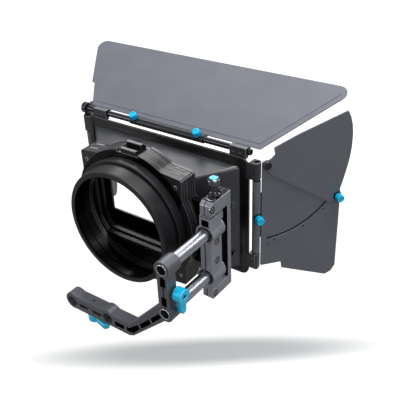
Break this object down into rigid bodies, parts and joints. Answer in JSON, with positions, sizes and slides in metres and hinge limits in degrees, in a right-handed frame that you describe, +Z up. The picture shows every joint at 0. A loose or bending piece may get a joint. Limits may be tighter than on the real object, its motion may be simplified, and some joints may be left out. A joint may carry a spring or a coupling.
{
  "type": "swing-away matte box",
  "caption": "Swing-away camera matte box with a rod support arm, round rear ring, filter trays, flared hood and folding top and side flags.",
  "frame": {"origin": "midway between the two support-rod bores, on the support arm's rear face", "axes": "+X to the operator's right, +Y towards the subject along the optical axis, +Z up"},
  "size_m": [0.4205, 0.2833, 0.257],
  "materials": {
    "arm_black": "satin black anodised",
    "anodised_blue": "blue anodised",
    "chrome_rod": "polished",
    "dark_steel": "dark polished",
    "grey_anodised": "dark grey anodised",
    "ring_black": "gloss black anodised",
    "stage_black": "satin black anodised",
    "black_plastic": "gloss",
    "hood_black": "satin",
    "flag_grey": "fine satin"
  },
  "bodies": {
    "support": {"support_arm": "arm_black", "arm_lever_washer": "dark_steel"},
    "clamp_lever": {"support_clamp_lever": "anodised_blue"},
    "arm_lever_body": {"arm_lever": "anodised_blue"},
    "rods": {"side_rod_upper": "chrome_rod", "side_rod_lower": "chrome_rod", "rod_bush_upper": "black_plastic", "rod_bush_lower": "black_plastic", "swing_block": "grey_anodised", "block_screw_upper": "dark_steel", "block_screw_lower": "dark_steel", "pivot_screw_upper": "chrome_rod", "pivot_screw_lower": "chrome_rod"},
    "swing": {"swing_bracket_inner": "grey_anodised", "swing_bracket_outer": "grey_anodised", "bracket_screw_upper": "dark_steel", "bracket_screw_lower": "dark_steel", "rear_ring": "ring_black", "rear_stage": "stage_black", "front_stage": "stage_black", "hood_shell": "hood_black", "hood_frame": "hood_black", "stage_mount": "arm_black", "stage_screw_upper_right": "dark_steel", "stage_screw_upper_left": "dark_steel", "stage_screw_lower_right": "dark_steel", "stage_screw_lower_left": "dark_steel", "top_flag_rod": "dark_steel", "top_rod_knob": "black_plastic", "right_flag_rod": "dark_steel", "left_flag_rod": "dark_steel", "top_bracket_right": "grey_anodised", "top_bracket_left": "grey_anodised", "side_bracket_upper_right": "grey_anodised", "side_bracket_lower_right": "grey_anodised", "side_bracket_upper_left": "grey_anodised", "side_bracket_lower_left": "grey_anodised"},
    "lock": {"swing_lock_plunger": "dark_steel", "swing_lock_cap": "dark_steel"},
    "tray_rear": {"filter_tray_rear": "stage_black", "tray_clip_rear": "black_plastic"},
    "tray_front": {"filter_tray_front": "stage_black", "tray_clip_front": "black_plastic"},
    "top_flag": {"top_flag_panel": "flag_grey", "top_flag_barrel": "flag_grey"},
    "top_screw_right": {"top_thumbscrew_right": "anodised_blue"},
    "top_screw_left": {"top_thumbscrew_left": "anodised_blue"},
    "right_flag": {"right_flag_panel": "flag_grey", "right_flag_barrel": "flag_grey"},
    "right_hinge_screw": {"right_hinge_thumbscrew": "anodised_blue"},
    "right_wing": {"right_flag_wing": "flag_grey", "right_wing_pivot": "dark_steel"},
    "right_wing_screw": {"right_wing_thumbscrew": "anodised_blue"},
    "left_flag": {"left_flag_panel": "flag_grey", "left_flag_barrel": "flag_grey"},
    "left_hinge_screw": {"left_hinge_thumbscrew": "anodised_blue"},
    "left_wing": {"left_flag_wing": "flag_grey", "left_wing_pivot": "dark_steel"},
    "left_wing_screw": {"left_wing_thumbscrew": "anodised_blue"}
  },
  "joints": [
    {"name": "clamp_lever_turn", "type": "hinge", "parent": "support", "child": "clamp_lever", "pos_m": [0, 0.0075, -0.015], "axis": [0, 0, 1], "range_deg": [-120, 120]},
    {"name": "arm_lever_turn", "type": "hinge", "parent": "support", "child": "arm_lever_body", "pos_m": [0.137, 0.0115, 0.077], "axis": [1, 0, 0], "range_deg": [-90, 90]},
    {"name": "rods_slide", "type": "slide", "parent": "support", "child": "rods", "axis": [0, 1, 0], "range_m": [-0.03, 0.015]},
    {"name": "swing_away", "type": "hinge", "parent": "rods", "child": "swing", "pos_m": [0.1245, 0.0917, 0.085], "axis": [0, 0, 1], "range_deg": [-110, 0]},
    {"name": "swing_lock", "type": "slide", "parent": "swing", "child": "lock", "axis": [0, 0, 1], "range_m": [-0.0018, 0]},
    {"name": "rear_tray_lift", "type": "slide", "parent": "swing", "child": "tray_rear", "axis": [0, 0, 1], "range_m": [0, 0.17]},
    {"name": "front_tray_lift", "type": "slide", "parent": "swing", "child": "tray_front", "axis": [0, 0, 1], "range_m": [0, 0.17]},
    {"name": "top_flag_tilt", "type": "hinge", "parent": "swing", "child": "top_flag", "pos_m": [0, 0.1732, 0.1764], "axis": [1, 0, 0], "range_deg": [-28, 50]},
    {"name": "top_screw_right_turn", "type": "hinge", "parent": "top_flag", "child": "top_screw_right", "pos_m": [0.051, 0.17056, 0.18122], "axis": [0, -0.4802, 0.8771], "range_deg": [-180, 180]},
    {"name": "top_screw_left_turn", "type": "hinge", "parent": "top_flag", "child": "top_screw_left", "pos_m": [-0.051, 0.17056, 0.18122], "axis": [0, -0.4802, 0.8771], "range_deg": [-180, 180]},
    {"name": "right_flag_turn", "type": "hinge", "parent": "swing", "child": "right_flag", "pos_m": [0.1368, 0.1696, 0.09], "axis": [0, 0, 1], "range_deg": [-55, 8]},
    {"name": "right_hinge_screw_turn", "type": "hinge", "parent": "right_flag", "child": "right_hinge_screw", "pos_m": [0.14113, 0.16621, 0.093], "axis": [0.788, -0.6157, 0], "range_deg": [-180, 180]},
    {"name": "right_wing_fold", "type": "hinge", "parent": "right_flag", "child": "right_wing", "pos_m": [0.14377, 0.17853, 0.1635], "axis": [-0.788, 0.6157, 0], "range_deg": [0, 40]},
    {"name": "right_wing_screw_turn", "type": "hinge", "parent": "right_wing", "child": "right_wing_screw", "pos_m": [0.20688, 0.25118, 0.103], "axis": [0.788, -0.6157, 0], "range_deg": [-180, 180]},
    {"name": "left_flag_turn", "type": "hinge", "parent": "swing", "child": "left_flag", "pos_m": [-0.1368, 0.1696, 0.09], "axis": [0, 0, -1], "range_deg": [-60, 7]},
    {"name": "left_hinge_screw_turn", "type": "hinge", "parent": "left_flag", "child": "left_hinge_screw", "pos_m": [-0.14156, 0.16685, 0.093], "axis": [-0.866, -0.5, 0], "range_deg": [-180, 180]},
    {"name": "left_wing_fold", "type": "hinge", "parent": "left_flag", "child": "left_wing", "pos_m": [-0.14247, 0.17941, 0.1635], "axis": [-0.866, -0.5, 0], "range_deg": [-30, 0]},
    {"name": "left_wing_screw_turn", "type": "hinge", "parent": "left_wing", "child": "left_wing_screw", "pos_m": [-0.16416, 0.20699, 0.05538], "axis": [-0.866, -0.5, 0], "range_deg": [-180, 180]}
  ]
}
